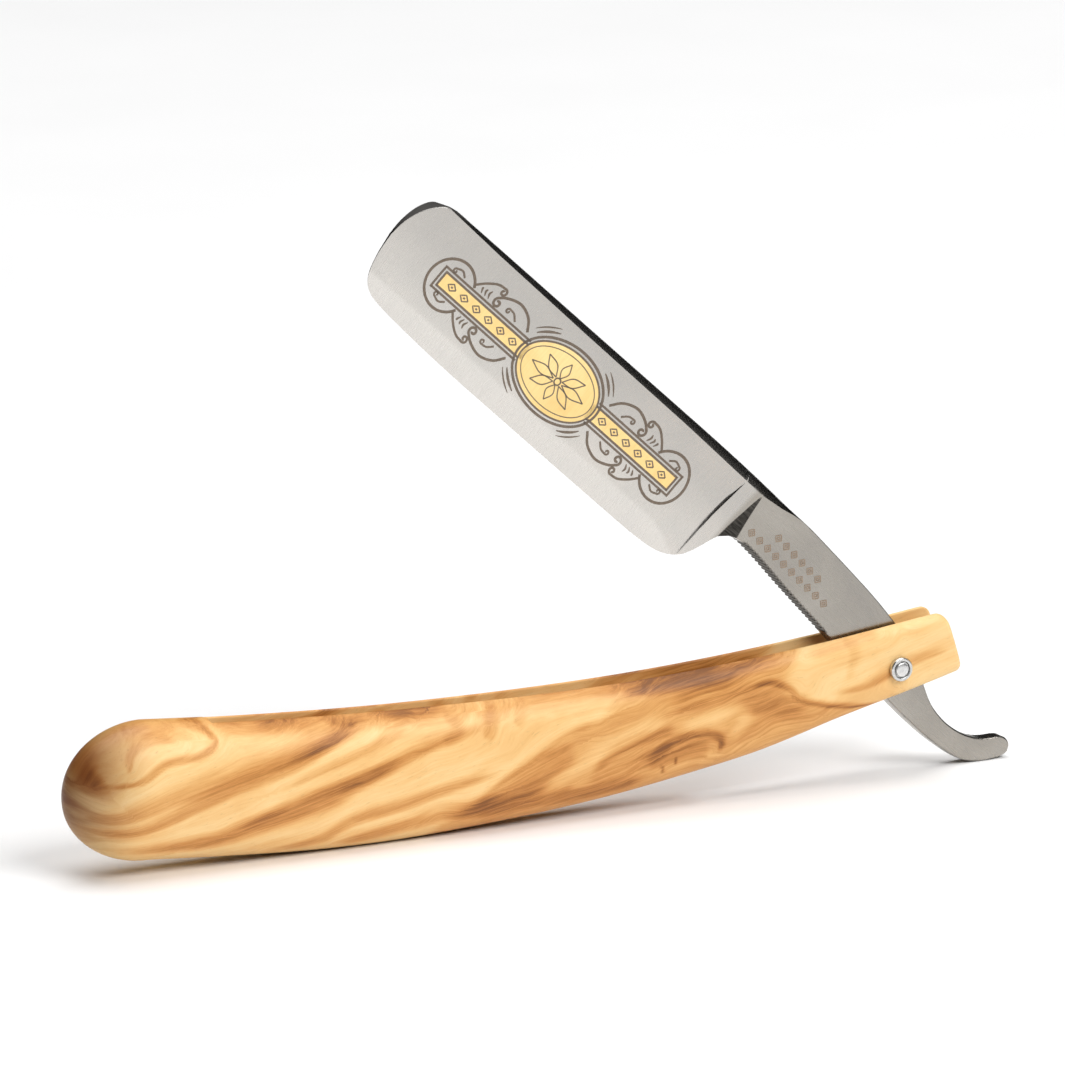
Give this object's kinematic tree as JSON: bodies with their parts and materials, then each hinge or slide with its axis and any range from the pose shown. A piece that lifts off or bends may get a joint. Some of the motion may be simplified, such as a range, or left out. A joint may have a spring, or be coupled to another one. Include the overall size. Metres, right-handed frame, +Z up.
{
  "type": "straight razor",
  "caption": "Folding straight razor: hollow-ground steel blade with notched tang and curled tail, turning on a riveted pin in a slotted one-piece wooden handle.",
  "frame": {"origin": "middle of the bounding box's bottom face, on the surface that the half-open razor stands on", "axes": "+X along the handle from its rounded butt towards the pivot and the tail, +Y out of the razor's back side (the front side faces -Y), +Z up"},
  "size_m": [0.16, 0.0132, 0.0965],
  "materials": {
    "olive_wood": "satin lacquer over figured olive wood",
    "blade_steel": "fine satin grind, darker rounded back",
    "pin_steel": "peened and polished",
    "collar_steel": "polished",
    "washer_brass": "plain turned"
  },
  "bodies": {
    "handle_body": {"handle": "olive_wood", "pivot_pin": "pin_steel", "pin_collar_front": "collar_steel", "pin_collar_back": "collar_steel", "washer_front": "washer_brass", "washer_back": "washer_brass"},
    "blade_body": {"blade": "blade_steel"}
  },
  "joints": [
    {"name": "blade_hinge", "type": "hinge", "parent": "handle_body", "child": "blade_body", "pos_m": [0.05911, 0, 0.01715], "axis": [0, 1, 0], "range_deg": [-42, 275]}
  ]
}
